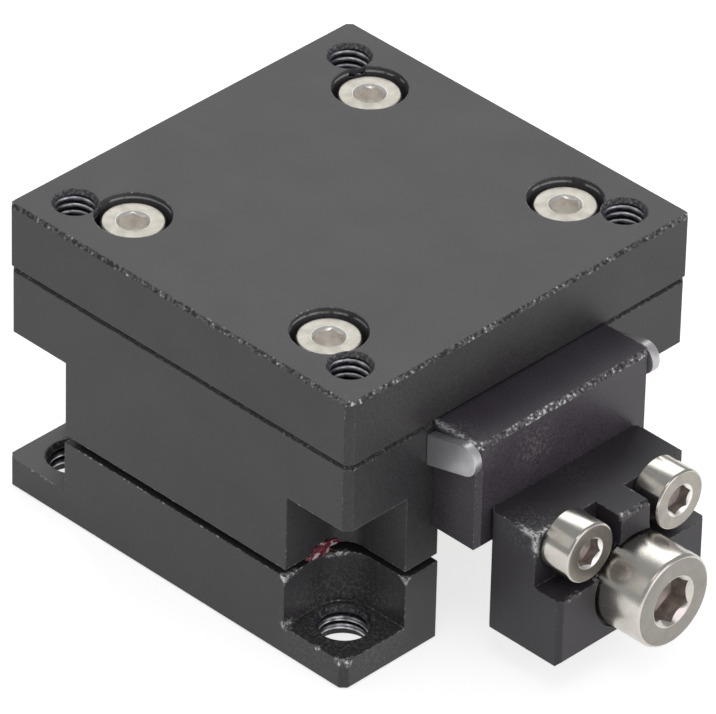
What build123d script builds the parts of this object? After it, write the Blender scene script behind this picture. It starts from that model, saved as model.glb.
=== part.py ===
"""Linear translation stage: crossed-roller X stage driven by a captive feed screw.

Frame: millimetres, +Z up, +X along the travel towards the drive end. The origin is
the centre of the base's footprint, on the underside. Everything is drawn at mid travel.
"""
from build123d import *
import math
import os

os.makedirs("parts", exist_ok=True)

# ---------------------------------------------------------------- driving dimensions
stage_size = 40.0          # base and table are square, this wide
travel = 5.0               # carriage travel each way from the middle
corner_chamfer = 0.6       # on the upright corners of table, carriage and base
edge_chamfer = 0.3         # broken edges round the plates
hole_pitch = 32.0          # square pitch of the table's and the base's mounting holes

# heights, from the underside up
flange_height = 3.0        # the base's corner flanges
base_height = 8.0
air_gap = 0.7              # between base and carriage
shoulder_height = 16.0     # underside of the carriage's full-size upper part
carriage_top = 22.4
table_thickness = 6.4

# corner notches over the base's flange holes
notch = 7.0                # from the side faces inwards
notch_radius = 3.0         # in the base; the cutter runs concentric with the flange hole
carriage_notch_radius = 2.0
carriage_inset = 0.1       # the carriage is this much inside the table all round

# guide channel and the drive slot in line with it
channel_half = 9.3
slot_depth = 12.0          # the base's slot, from the drive end inwards
slot_radius = 1.5
ridge_half = 4.2
rail_thickness = 2.3
rail_height = 5.0
ledge_rise = 1.6           # the ledge under the base's rails, over the base's top
ridge_over_rail = 0.2
relief_over_ridge = 0.4

# crossed rollers
roller_size = 1.5          # width of the square tunnel between two rails' grooves
roller_clearance = 0.03    # between a roller and each groove face
roller_pitch = 2.4
rollers_per_row = 8
cage_length = 20.0
cage_thickness = 0.3
cage_height = 3.0
window_clearance = 0.05
base_rail_length = 26.0
base_rail_end = 1.0        # from the slot's inner end back to the base rails' end
carriage_rail_length = 36.0
carriage_rail_start = 0.9  # from the carriage's rear face to its rails
stop_plate_thickness = 0.6
stop_plate_height = 3.0
stop_plate_inset = 0.2

# feed screw, an M5 cap screw that turns in the screw block
feed_axis_height = 8.65
feed_pitch = 0.8
feed_thread_radius = 2.5
feed_running_clearance = 0.05
feed_length = 35.0
feed_head_radius = 4.25
feed_head_height = 5.0
feed_socket = 4.0          # across flats
feed_socket_depth = 2.6
feed_head_sink = 0.5       # the head's underside is this far inside the block's face
feed_head_clearance = 0.25
tunnel_clearance = 0.3
tunnel_end_clearance = 1.7

# feed nut
nut_body_radius = 3.4
nut_body_length = 8.0
nut_flange_thickness = 1.6
nut_flange_half = 6.2
nut_flange_down = 5.0
nut_flange_up = 3.3
nut_flange_radius = 1.5
nut_screw_y = 4.4
nut_screw_drop = 3.1

# drive bracket on the carriage's end face, with a tongue let into its top
bracket_half = 10.0
bracket_depth = 5.1
bracket_bottom = 11.9
bracket_chamfer = 0.4
tongue_length = 12.0
tongue_thickness = 2.0
seam_clearance = 0.05      # the bracket's top is this much under the table

# screw block
block_half = 8.6
block_depth = 8.2
block_bottom = 3.85
block_top = 15.6
block_chamfer = 0.4
block_screw_y = 5.3
block_screw_height = 13.8
pocket_depth = 3.0         # from the block's front face
pocket_floor = 10.4
pocket_wall = 1.65         # half the web that is left between the pockets
pocket_radius = 3.25
ring_recess_radius = 3.9
ring_recess_depth = 1.5
ring_radius = 3.5
ring_thickness = 0.6
ring_groove_radius = 2.0
washer_radius = 3.6
washer_thickness = 0.4
axial_play = 0.05

# keeper clip, a flat spring that clasps the bracket from behind
clip_thickness = 0.9
clip_back_thickness = 0.8
clip_rear_bottom = 18.45
clip_rear_top = 21.45
clip_rise = 1.35           # the arms climb by this much towards the tips
clip_reach = 5.4           # from the carriage's face to the tips
clip_nose_radius = 1.4

# screws: thread radius, head radius, head height, socket across flats, socket depth
m16 = dict(thread=0.8, head=1.5, head_height=1.6, socket=1.5, socket_depth=0.8)
m2 = dict(thread=1.0, head=1.9, head_height=2.0, socket=1.5, socket_depth=1.0)
m3 = dict(thread=1.5, head=2.75, head_height=3.0, socket=2.5, socket_depth=1.4)
m25_flat = dict(thread=1.25, head=2.4, head_height=1.3, socket=1.5, socket_depth=0.7)
head_chamfer = 0.3
tip_chamfer = 0.3
counterbore_clearance = 0.15
through_clearance = 0.2

# screws of the table
table_screw_x = 11.4
table_screw_y = 13.8
table_screw_length = 8.0
table_head_sink = 0.55
table_counterbore_clearance = 0.55
tapped_radius_table = 2.0  # M4; a tapped wall is drawn at the thread's major radius
tapped_radius_base = 2.5   # M5, so that an M4 screw also drops through

# the other screws
rail_screw_bite = 1.6      # into a rail
base_rail_screw_places = (4.0, 20.0)      # from the rail's rear end
base_rail_screw_length = 9.4
carriage_rail_screw_places = (4.0, 24.0)
carriage_rail_screw_length = 7.0
block_screw_length = 10.0
nut_screw_length = 6.0
bracket_screw_inset = 5.9  # from the carriage's end face
bracket_screw_y = 6.0
bracket_screw_length = 5.0
preload_screw_x = (-9.0, 0.0, 9.0)
preload_screw_radius = 1.25
preload_screw_length = 4.0
preload_socket = 1.3
preload_socket_depth = 1.2

# travel stop
stop_pin_x = -14.0
stop_pin_radius = 1.0
stop_pin_bottom = 10.0
stop_pin_rise = 1.6        # over the ridge
stop_slot_clearance = 0.1

# ---------------------------------------------------------------- derived places
half = stage_size / 2
carriage_half = half - carriage_inset
notch_wall = half - notch
hole_half = hole_pitch / 2
carriage_bottom = base_height + air_gap
ledge_top = base_height + ledge_rise
rail_top = ledge_top + rail_height
rail_middle = ledge_top + rail_height / 2
ridge_top = rail_top + ridge_over_rail
relief_top = ridge_top + relief_over_ridge
table_top = carriage_top + table_thickness
slot_end = half - slot_depth
base_rail_front = slot_end - base_rail_end
base_rail_back = base_rail_front - base_rail_length
base_rail_outer = ridge_half + rail_thickness
carriage_rail_inner = channel_half - rail_thickness
carriage_rail_back = -carriage_half + carriage_rail_start
roller_row_y = (base_rail_outer + carriage_rail_inner) / 2
roller_radius = roller_size / 2 - roller_clearance
bracket_back = carriage_half
bracket_front = bracket_back + bracket_depth
bracket_top = carriage_top - seam_clearance
block_front = bracket_front + block_depth
feed_head_seat = block_front - feed_head_sink
feed_screw_radius = feed_thread_radius - feed_running_clearance
feed_tip = feed_head_seat - feed_length
table_head_seat = table_top - table_head_sink - m3["head_height"]
base_rail_screw_x = [base_rail_back + place for place in base_rail_screw_places]
carriage_rail_screw_x = [carriage_rail_back + place for place in carriage_rail_screw_places]
bracket_screw_x = bracket_back - bracket_screw_inset


# ---------------------------------------------------------------- shapes used often
def block(x0, x1, y0, y1, z0, z1):
    """A box between two corners."""
    size = (x1 - x0, y1 - y0, z1 - z0)
    middle = ((x0 + x1) / 2, (y0 + y1) / 2, (z0 + z1) / 2)
    return Pos(*middle) * Box(*size)


def rod_x(x0, x1, y, z, radius):
    """A cylinder along X."""
    return Pos((x0 + x1) / 2, y, z) * Rot(0, 90, 0) * Cylinder(radius, x1 - x0)


def rod_y(y0, y1, x, z, radius):
    """A cylinder along Y."""
    return Pos(x, (y0 + y1) / 2, z) * Rot(90, 0, 0) * Cylinder(radius, y1 - y0)


def rod_z(z0, z1, x, y, radius):
    """A cylinder along Z."""
    return Pos(x, y, (z0 + z1) / 2) * Cylinder(radius, z1 - z0)


def plate(size, z0, z1):
    """A square plate with chamfered upright corners."""
    outline = Rectangle(size, size)
    outline = chamfer(outline.vertices(), corner_chamfer)
    return Pos(0, 0, z0) * extrude(outline, z1 - z0)


def corner_signs():
    """The four corners, as signs of x and y."""
    return [(sx, sy) for sx in (-1, 1) for sy in (-1, 1)]


def notch_cutters(wall, radius, z0, z1):
    """Four square cutters over the corners, each with a rounded inner corner."""
    cutters = []
    for sx, sy in corner_signs():
        outline = RectangleRounded(stage_size, stage_size, radius)
        middle = wall + stage_size / 2
        cutters.append(Pos(sx * middle, sy * middle, z0) * extrude(outline, z1 - z0))
    return cutters


def hexagon_socket(across_flats, depth):
    """A hexagonal hole going down from z = 0."""
    return Pos(0, 0, -depth) * extrude(RegularPolygon(across_flats / 2, 6, major_radius=False), depth)


def plain_cap_screw(size, length):
    """A socket cap screw along Z: the head stands on z = 0, the thread points down."""
    head = Pos(0, 0, size["head_height"] / 2) * Cylinder(size["head"], size["head_height"])
    head -= Pos(0, 0, size["head_height"]) * hexagon_socket(size["socket"], size["socket_depth"])
    return head + Pos(0, 0, -length / 2) * Cylinder(size["thread"], length)


def cap_screw(size, length):
    """A cap screw with its head's rim broken, where it shows."""
    screw = plain_cap_screw(size, length)
    circles = screw.edges().filter_by(GeomType.CIRCLE).sort_by(Axis.Z)
    return chamfer(circles[-1], head_chamfer)


def flat_screw(size, length):
    """A countersunk screw along Z: its flat top is at z = 0, the thread points down."""
    cone = Cone(size["thread"], size["head"], size["head_height"])
    cone = Pos(0, 0, -size["head_height"] / 2) * cone
    cone -= hexagon_socket(size["socket"], size["socket_depth"])
    shank = Pos(0, 0, -(length + size["head_height"]) / 2)
    shank = shank * Cylinder(size["thread"], length - size["head_height"])
    return cone + shank


def mirrored(shape):
    """The same shape on the other side of the XZ plane."""
    return mirror(shape, Plane.XZ)


def group(solids):
    """Separate solids that share one node."""
    return Compound(children=list(solids))


# ---------------------------------------------------------------- base
def base_block():
    """Flanged base with the guide ridge, the drive slot and the feed screw's tunnel."""
    body = plate(stage_size, 0, base_height)
    for cutter in notch_cutters(notch_wall, notch_radius, flange_height, base_height):
        body -= cutter
    slot = Pos(slot_end + slot_depth, 0, 0) * RectangleRounded(2 * slot_depth, 2 * channel_half, slot_radius)
    body -= extrude(slot, base_height)
    body = chamfer(body.edges().group_by(Axis.Z)[0], edge_chamfer)
    body += block(-half, slot_end, -base_rail_outer, base_rail_outer, base_height, ledge_top)
    body += block(-half, slot_end, -ridge_half, ridge_half, ledge_top, ridge_top)
    tunnel_end = feed_tip - travel - tunnel_end_clearance
    tunnel_radius = feed_thread_radius + tunnel_clearance
    body -= rod_x(tunnel_end, slot_end, 0, feed_axis_height, tunnel_radius)
    body -= rod_x(slot_end - nut_body_length, slot_end, 0, feed_axis_height, nut_body_radius)
    for side in (-1, 1):
        height = feed_axis_height - nut_screw_drop
        depth = nut_screw_length - nut_flange_thickness
        body -= rod_x(slot_end - depth, slot_end, side * nut_screw_y, height, m2["thread"])
        for x in base_rail_screw_x:
            y = side * (ridge_half + rail_thickness / 2)
            seat = ledge_top + rail_screw_bite - base_rail_screw_length
            body -= rod_z(0, seat, x, y, m16["head"] + counterbore_clearance)
            body -= rod_z(seat, ledge_top, x, y, m16["thread"])
    body -= rod_z(stop_pin_bottom, ridge_top, stop_pin_x, 0, stop_pin_radius)
    for sx, sy in corner_signs():
        x = sx * hole_half
        y = sy * hole_half
        body -= rod_z(0, flange_height, x, y, tapped_radius_base)
    return body


def rail_profile(back_y, face_y, z0, z1):
    """Section of a guide rail: a bar with a right-angled groove in its face."""
    into = -1 if face_y > back_y else 1
    reach = roller_size / math.sqrt(2)
    gap = abs(roller_row_y - face_y)
    depth = reach - gap
    middle = (z0 + z1) / 2
    points = [(back_y, z0), (face_y, z0), (face_y, middle - depth)]
    points += [(face_y + into * depth, middle), (face_y, middle + depth), (face_y, z1), (back_y, z1)]
    return points


def guide_rail(x0, length, back_y, face_y):
    """A ground rail along X, groove outwards or inwards."""
    points = rail_profile(back_y, face_y, ledge_top, rail_top)
    section = make_face(Polyline(*[(y, z) for y, z in points], close=True))
    section = Plane(origin=(x0, 0, 0), x_dir=(0, 1, 0), z_dir=(1, 0, 0)) * section
    return extrude(section, length, dir=(1, 0, 0))


def base_rail():
    """Inner rail on the left side of the ridge, tapped from below."""
    rail = guide_rail(base_rail_back, base_rail_length, ridge_half, base_rail_outer)
    for x in base_rail_screw_x:
        y = ridge_half + rail_thickness / 2
        rail -= rod_z(ledge_top, ledge_top + rail_screw_bite, x, y, m16["thread"])
    return rail


def base_rail_screws():
    """Long cap screws from the underside up into the base's rails."""
    screws = []
    for side in (-1, 1):
        for x in base_rail_screw_x:
            y = side * (ridge_half + rail_thickness / 2)
            seat = ledge_top + rail_screw_bite - base_rail_screw_length
            screws.append(Pos(x, y, seat) * Rot(180, 0, 0) * plain_cap_screw(m16, base_rail_screw_length))
    return group(screws)


def rail_end_stops():
    """Small plates on the ends of the base's rails that keep the cages in."""
    plates = []
    y0 = ridge_half + stop_plate_inset
    z0 = rail_middle - stop_plate_height / 2
    for side in (-1, 1):
        for x0 in (base_rail_back - stop_plate_thickness, base_rail_front):
            inner = min(side * y0, side * roller_row_y)
            outer = max(side * y0, side * roller_row_y)
            x1 = x0 + stop_plate_thickness
            plates.append(block(x0, x1, inner, outer, z0, z0 + stop_plate_height))
    return group(plates)


def feed_nut():
    """Flanged bronze nut let into the end of the ridge."""
    flange_height_total = nut_flange_up + nut_flange_down
    outline = RectangleRounded(2 * nut_flange_half, flange_height_total, nut_flange_radius)
    middle = feed_axis_height + (nut_flange_up - nut_flange_down) / 2
    face = Plane(origin=(slot_end, 0, middle), x_dir=(0, 1, 0), z_dir=(1, 0, 0)) * outline
    nut = extrude(face, nut_flange_thickness, dir=(1, 0, 0))
    nut += rod_x(slot_end - nut_body_length, slot_end, 0, feed_axis_height, nut_body_radius)
    nut -= rod_x(slot_end - nut_body_length, half, 0, feed_axis_height, feed_thread_radius)
    for side in (-1, 1):
        height = feed_axis_height - nut_screw_drop
        nut -= rod_x(slot_end, half, side * nut_screw_y, height, m2["thread"] + through_clearance)
    return nut


def nut_screws():
    """Two cap screws through the nut's flange."""
    screws = []
    for side in (-1, 1):
        place = Pos(slot_end + nut_flange_thickness, side * nut_screw_y, feed_axis_height - nut_screw_drop)
        screws.append(place * Rot(0, 90, 0) * plain_cap_screw(m2, nut_screw_length))
    return group(screws)


def stop_pin():
    """Dowel in the ridge's top that ends the travel in the carriage's slot."""
    pin = rod_z(stop_pin_bottom, ridge_top + stop_pin_rise, stop_pin_x, 0, stop_pin_radius)
    return chamfer(pin.edges().filter_by(GeomType.CIRCLE).sort_by(Axis.Z)[-1], tip_chamfer)


# ---------------------------------------------------------------- roller cages
def roller_places():
    """Middles of the rollers in one row, along X."""
    cage_middle = (base_rail_back + base_rail_front) / 2
    first = cage_middle - roller_pitch * (rollers_per_row - 1) / 2
    return [first + i * roller_pitch for i in range(rollers_per_row)]


def roller_solid(x, tilt, radius, length):
    """One roller; its axis leans one way or the other, square to the travel."""
    return Pos(x, roller_row_y, rail_middle) * Rot(tilt, 0, 0) * Cylinder(radius, length)


def rollers():
    """The left row of rollers, leaning the two ways in turn."""
    solids = []
    length = 2 * roller_radius
    for i, x in enumerate(roller_places()):
        tilt = 45 if i % 2 == 0 else -45
        solids.append(roller_solid(x, tilt, roller_radius, length))
    return group(solids)


def roller_cage():
    """Thin strip that spaces the left row of rollers."""
    cage_middle = (base_rail_back + base_rail_front) / 2
    y0 = roller_row_y - cage_thickness / 2
    z0 = rail_middle - cage_height / 2
    x0 = cage_middle - cage_length / 2
    cage = block(x0, x0 + cage_length, y0, y0 + cage_thickness, z0, z0 + cage_height)
    window_half = roller_radius + window_clearance
    window_rise = math.sqrt(2) * roller_radius + window_clearance
    for x in roller_places():
        cage -= block(x - window_half, x + window_half, y0, y0 + cage_thickness,
                      rail_middle - window_rise, rail_middle + window_rise)
    return cage


# ---------------------------------------------------------------- carriage
def carriage_block():
    """Carriage: full-size upper part, notched lower part and the guide channel."""
    size = 2 * carriage_half
    body = plate(size, carriage_bottom, carriage_top)
    for cutter in notch_cutters(notch_wall, carriage_notch_radius, carriage_bottom, shoulder_height):
        body -= cutter
    rim = body.edges().group_by(Axis.Z)[-1]
    body = chamfer(rim, edge_chamfer)
    reach = stage_size
    body -= block(-reach, reach, -channel_half, channel_half, carriage_bottom, rail_top)
    relief = carriage_rail_inner - stop_plate_inset
    body -= block(-reach, reach, -relief, relief, rail_top, relief_top)
    slot_length = 2 * (travel + stop_pin_radius + stop_slot_clearance)
    slot_width = 2 * (stop_pin_radius + through_clearance)
    slot_top = ridge_top + stop_pin_rise + relief_over_ridge
    slot = Pos(stop_pin_x, 0, relief_top) * SlotOverall(slot_length, slot_width)
    body -= extrude(slot, slot_top - relief_top)
    tongue_back = bracket_back - tongue_length
    tongue_bottom = bracket_top - tongue_thickness
    body -= block(tongue_back, half, -bracket_half, bracket_half, tongue_bottom, carriage_top)
    for sx, sy in corner_signs():
        bottom = table_head_seat - table_screw_length
        body -= rod_z(bottom, carriage_top, sx * table_screw_x, sy * table_screw_y, m3["thread"])
    for side in (-1, 1):
        bottom = bracket_top - bracket_screw_length
        body -= rod_z(bottom, carriage_top, bracket_screw_x, side * bracket_screw_y, m25_flat["thread"])
    seat = rail_top - rail_screw_bite + carriage_rail_screw_length
    for side in (-1, 1):
        for x in carriage_rail_screw_x:
            y = side * (channel_half - rail_thickness / 2)
            body -= rod_z(rail_top, seat, x, y, m16["thread"])
            body -= rod_z(seat, carriage_top, x, y, m16["head"] + counterbore_clearance)
    for x in preload_screw_x:
        body -= rod_y(channel_half, stage_size, x, rail_middle, preload_screw_radius)
    return body


def carriage_rail():
    """Outer rail on the left wall of the channel, tapped from above."""
    rail = guide_rail(carriage_rail_back, carriage_rail_length, channel_half, carriage_rail_inner)
    for x in carriage_rail_screw_x:
        y = channel_half - rail_thickness / 2
        rail -= rod_z(rail_top - rail_screw_bite, rail_top, x, y, m16["thread"])
    return rail


def carriage_rail_screws():
    """Cap screws from the carriage's top down into its rails."""
    screws = []
    seat = rail_top - rail_screw_bite + carriage_rail_screw_length
    for side in (-1, 1):
        for x in carriage_rail_screw_x:
            y = side * (channel_half - rail_thickness / 2)
            screws.append(Pos(x, y, seat) * plain_cap_screw(m16, carriage_rail_screw_length))
    return group(screws)


def preload_screws():
    """Set screws that press the left outer rail onto its rollers."""
    screws = []
    for x in preload_screw_x:
        screw = rod_y(channel_half, channel_half + preload_screw_length, x, rail_middle, preload_screw_radius)
        socket = hexagon_socket(preload_socket, preload_socket_depth)
        mouth = Pos(x, channel_half + preload_screw_length, rail_middle)
        screws.append(screw - mouth * Rot(-90, 0, 0) * socket)
    return group(screws)


def table_plate():
    """Square table with four counterbored and four tapped holes."""
    body = plate(stage_size, carriage_top, table_top)
    rims = body.edges().group_by(Axis.Z)[-1] + body.edges().group_by(Axis.Z)[0]
    body = chamfer(rims, edge_chamfer)
    for sx, sy in corner_signs():
        x = sx * table_screw_x
        y = sy * table_screw_y
        body -= rod_z(carriage_top, table_top, x, y, m3["thread"] + through_clearance)
        body -= rod_z(table_head_seat, table_top, x, y, m3["head"] + table_counterbore_clearance)
        x = sx * hole_half
        y = sy * hole_half
        body -= rod_z(carriage_top, table_top, x, y, tapped_radius_table)
    return body


def table_screws():
    """Four cap screws, sunk a little below the table's face."""
    screws = []
    for sx, sy in corner_signs():
        place = Pos(sx * table_screw_x, sy * table_screw_y, table_head_seat)
        screws.append(place * cap_screw(m3, table_screw_length))
    return group(screws)


# ---------------------------------------------------------------- drive end
def clip_arm_outline():
    """Side view of a clip arm, (x, z): it climbs to a rounded tip."""
    back = bracket_back
    tip = back + clip_reach
    height = clip_rear_top - clip_rear_bottom
    line = Polyline((back, clip_rear_bottom), (tip, clip_rear_bottom + clip_rise),
                    (tip, clip_rear_bottom + clip_rise + height), (back, clip_rear_top), close=True)
    face = make_face(line)
    tips = face.vertices().sort_by(Axis.X)[-2:]
    return fillet(tips, clip_nose_radius)


def drive_bracket():
    """Bracket across the carriage's end: a bar with a tongue let in under the table."""
    body = block(bracket_back, bracket_front, -bracket_half, bracket_half, bracket_bottom, bracket_top)
    front = body.edges().group_by(Axis.X)[-1]
    body = chamfer(front, bracket_chamfer)
    tongue_back = bracket_back - tongue_length
    tongue_bottom = bracket_top - tongue_thickness
    body += block(tongue_back, bracket_back, -bracket_half, bracket_half, tongue_bottom, bracket_top)
    body -= block(bracket_back, bracket_back + clip_back_thickness, -bracket_half, bracket_half,
                  clip_rear_bottom, bracket_top - tongue_thickness)
    for side in (-1, 1):
        place = Pos(bracket_screw_x, side * bracket_screw_y, bracket_top)
        cone = Cone(m25_flat["thread"], m25_flat["head"], m25_flat["head_height"])
        body -= place * Pos(0, 0, -m25_flat["head_height"] / 2) * cone
        body -= place * Pos(0, 0, -tongue_thickness / 2) * Cylinder(m25_flat["thread"], tongue_thickness)
    for side in (-1, 1):
        seat = block_front - pocket_depth
        tip = seat - block_screw_length
        body -= rod_x(tip, bracket_front, side * block_screw_y, block_screw_height, m3["thread"])
    return body


def bracket_screws():
    """Countersunk screws through the tongue, hidden under the table."""
    screws = []
    for side in (-1, 1):
        place = Pos(bracket_screw_x, side * bracket_screw_y, bracket_top)
        screws.append(place * flat_screw(m25_flat, bracket_screw_length))
    return group(screws)


def keeper_clip():
    """Flat U spring: a back behind the bracket and an arm along each of its sides."""
    outline = Plane(origin=(0, 0, 0), x_dir=(1, 0, 0), z_dir=(0, -1, 0)) * clip_arm_outline()
    arm = extrude(outline, clip_thickness, dir=(0, 1, 0))
    left = Pos(0, bracket_half, 0) * arm
    right = Pos(0, -bracket_half - clip_thickness, 0) * arm
    top = min(clip_rear_top, bracket_top - tongue_thickness)
    back = block(bracket_back, bracket_back + clip_back_thickness, -bracket_half, bracket_half,
                 clip_rear_bottom, top)
    return left + back + right


def screw_block():
    """Block that carries the feed screw, with two pockets for its own screws."""
    body = block(bracket_front, block_front, -block_half, block_half, block_bottom, block_top)
    upright = body.edges().filter_by(Axis.Z)
    front = body.edges().group_by(Axis.X)[-1].filter_by(Axis.Y)
    body = chamfer(upright + front, block_chamfer)
    seat = block_front - pocket_depth
    for side in (-1, 1):
        pocket = RectangleRounded(stage_size, stage_size, pocket_radius)
        middle_y = side * (pocket_wall + stage_size / 2)
        middle_z = pocket_floor + stage_size / 2
        face = Plane(origin=(seat, middle_y, middle_z), x_dir=(0, 1, 0), z_dir=(1, 0, 0)) * pocket
        body -= extrude(face, pocket_depth, dir=(1, 0, 0))
        y = side * block_screw_y
        body -= rod_x(bracket_front, seat, y, block_screw_height, m3["thread"] + through_clearance)
    body -= rod_x(bracket_front, block_front, 0, feed_axis_height, feed_thread_radius)
    counterbore = feed_head_radius + feed_head_clearance
    body -= rod_x(feed_head_seat, block_front, 0, feed_axis_height, counterbore)
    recess_end = bracket_front + ring_recess_depth
    body -= rod_x(bracket_front, recess_end, 0, feed_axis_height, ring_recess_radius)
    return body


def block_screws():
    """Two cap screws through the block into the bracket."""
    screws = []
    for side in (-1, 1):
        place = Pos(block_front - pocket_depth, side * block_screw_y, block_screw_height)
        screws.append(place * Rot(0, 90, 0) * cap_screw(m3, block_screw_length))
    return group(screws)


def feed_screw():
    """Long cap screw: head outside the block, a ring groove behind it, then the thread."""
    size = dict(thread=feed_screw_radius, head=feed_head_radius, head_height=feed_head_height,
                socket=feed_socket, socket_depth=feed_socket_depth)
    seat = feed_head_seat + axial_play
    screw = Pos(seat, 0, feed_axis_height) * Rot(0, 90, 0) * cap_screw(size, feed_length)
    groove_end = bracket_front + ring_recess_depth - axial_play - washer_thickness
    groove = rod_x(groove_end - ring_thickness, groove_end, 0, feed_axis_height, feed_head_radius)
    groove -= rod_x(groove_end - ring_thickness, groove_end, 0, feed_axis_height, ring_groove_radius)
    return screw - groove


def thrust_washer():
    """Washer between the block and the retaining ring."""
    x1 = bracket_front + ring_recess_depth - axial_play
    x0 = x1 - washer_thickness
    ring = rod_x(x0, x1, 0, feed_axis_height, washer_radius)
    return ring - rod_x(x0, x1, 0, feed_axis_height, feed_screw_radius)


def retaining_ring():
    """Open ring in the screw's groove that holds it back in the block."""
    x1 = bracket_front + ring_recess_depth - axial_play - washer_thickness
    x0 = x1 - ring_thickness
    ring = rod_x(x0, x1, 0, feed_axis_height, ring_radius)
    ring -= rod_x(x0, x1, 0, feed_axis_height, ring_groove_radius)
    mouth = ring_groove_radius
    return ring - block(x0, x1, -mouth, mouth, feed_axis_height - 2 * ring_radius, feed_axis_height)


# ---------------------------------------------------------------- the assembly
nodes = {
    "base_block": base_block(),
    "base_rail_left": base_rail(),
    "base_rail_right": mirrored(base_rail()),
    "base_rail_screws": base_rail_screws(),
    "rail_end_stops": rail_end_stops(),
    "feed_nut": feed_nut(),
    "nut_screws": nut_screws(),
    "stop_pin": stop_pin(),
    "cage_left": roller_cage(),
    "cage_right": mirrored(roller_cage()),
    "rollers_left": rollers(),
    "rollers_right": mirrored(rollers()),
    "carriage_block": carriage_block(),
    "carriage_rail_left": carriage_rail(),
    "carriage_rail_right": mirrored(carriage_rail()),
    "carriage_rail_screws": carriage_rail_screws(),
    "preload_screws": preload_screws(),
    "table_plate": table_plate(),
    "table_screws": table_screws(),
    "drive_bracket": drive_bracket(),
    "bracket_screws": bracket_screws(),
    "keeper_clip": keeper_clip(),
    "screw_block": screw_block(),
    "block_screws": block_screws(),
    "feed_screw": feed_screw(),
    "thrust_washer": thrust_washer(),
    "retaining_ring": retaining_ring(),
}
for name, shape in nodes.items():
    export_step(shape, f"parts/{name}.step")
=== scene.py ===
"""Looks of the linear translation stage, built around its CAD frame.

The order follows the assembly: studio, the black anodised blocks, tapped holes,
guides and nut, cap screws, drive end, keeper clip, lacquer seal.
"""
import math

import bmesh
import bpy
from mathutils import Matrix, Vector
from mathutils.noise import noise


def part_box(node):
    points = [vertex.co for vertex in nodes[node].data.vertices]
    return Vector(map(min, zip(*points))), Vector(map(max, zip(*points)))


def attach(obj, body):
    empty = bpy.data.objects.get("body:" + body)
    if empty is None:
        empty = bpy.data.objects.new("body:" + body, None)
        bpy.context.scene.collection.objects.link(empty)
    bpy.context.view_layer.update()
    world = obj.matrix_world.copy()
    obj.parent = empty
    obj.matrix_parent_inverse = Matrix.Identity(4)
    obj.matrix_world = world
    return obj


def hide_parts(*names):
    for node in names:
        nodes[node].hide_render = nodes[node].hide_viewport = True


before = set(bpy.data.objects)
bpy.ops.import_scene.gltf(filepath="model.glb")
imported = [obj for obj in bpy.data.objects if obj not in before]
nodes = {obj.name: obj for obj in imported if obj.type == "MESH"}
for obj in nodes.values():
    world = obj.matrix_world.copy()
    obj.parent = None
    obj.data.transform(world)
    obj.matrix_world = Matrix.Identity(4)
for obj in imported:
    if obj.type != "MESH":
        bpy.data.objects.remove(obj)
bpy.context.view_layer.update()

scene = bpy.context.scene
scene.view_settings.view_transform = "Standard"

# ------------------------------------------------------------------ studio
# A long lens and a sweep of white paper: one big soft box overhead and behind, weaker
# ones at the left, at the right and in front, and bare paper under the stage.
MM = 0.001


def add(tree, kind, links=None, **settings):
    """Adds one node, sets its properties, and fills its sockets with values, sockets or nodes."""
    made = tree.nodes.new(kind)
    for name, value in settings.items():
        setattr(made, name, value)
    for socket, value in (links or {}).items():
        if isinstance(value, bpy.types.Node):
            value = value.outputs[0]
        if isinstance(value, bpy.types.NodeSocket):
            tree.links.new(value, made.inputs[socket])
        else:
            made.inputs[socket].default_value = value
    return made


def linear(code):
    """A linear colour from an sRGB hex code."""
    channels = [int(code[i:i + 2], 16) / 255 for i in (1, 3, 5)]
    straight = [c / 12.92 if c <= 0.04045 else ((c + 0.055) / 1.055) ** 2.4 for c in channels]
    return (*straight, 1.0)


def new_material(name):
    """An empty node material and its tree."""
    made = bpy.data.materials.new(name)
    made.use_nodes = True
    made.node_tree.nodes.clear()
    return made, made.node_tree


camera_azimuth = math.radians(44.067)
camera_elevation = math.radians(35.238)
camera_roll = math.radians(1.45)
camera_distance = 740.7 * MM
camera_aim = Vector((0, 0, 14.0 * MM))
camera_offset = Vector((0.968, -0.295, 0)) * MM
field_width = 59.67 * MM

back = Vector((math.sin(camera_azimuth) * math.cos(camera_elevation),
               -math.cos(camera_azimuth) * math.cos(camera_elevation),
               math.sin(camera_elevation)))
turn = (-back).to_track_quat("-Z", "Y").to_matrix() @ Matrix.Rotation(camera_roll, 3, "Z")
camera = bpy.data.objects.new("camera", bpy.data.cameras.new("camera"))
scene.collection.objects.link(camera)
camera.data.sensor_width = 36.0
camera.data.lens = camera.data.sensor_width * camera_distance / field_width
camera.matrix_world = (Matrix.Translation(camera_aim + turn @ camera_offset + back * camera_distance)
                       @ turn.to_4x4())
camera.data.clip_start = 10 * MM
camera.data.clip_end = 20.0
scene.camera = camera

paper, tree = new_material("white_paper_sweep")
path = add(tree, "ShaderNodeLightPath")       # the eye, metal and glass see the paper lit to white
seen = add(tree, "ShaderNodeMath", {0: path.outputs["Is Camera Ray"], 1: path.outputs["Is Glossy Ray"]},
           operation="MAXIMUM")
seen = add(tree, "ShaderNodeMath", {0: seen, 1: path.outputs["Is Transmission Ray"]}, operation="MAXIMUM")
lit = add(tree, "ShaderNodeBsdfDiffuse", {"Color": linear("#d6d6d5")})
glow = add(tree, "ShaderNodeEmission", {"Color": (1, 1, 1, 1), "Strength": 0.74})
lifted = add(tree, "ShaderNodeAddShader", {0: lit, 1: glow})
mixed = add(tree, "ShaderNodeMixShader", {0: seen, 1: lit, 2: lifted})
add(tree, "ShaderNodeOutputMaterial", {"Surface": mixed})
floor_mesh = bpy.data.meshes.new("floor")
reach = 3.0                    # half the width of the paper
level = 0.02 * MM              # a hair above the base's underside, so that the two never coincide
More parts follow.
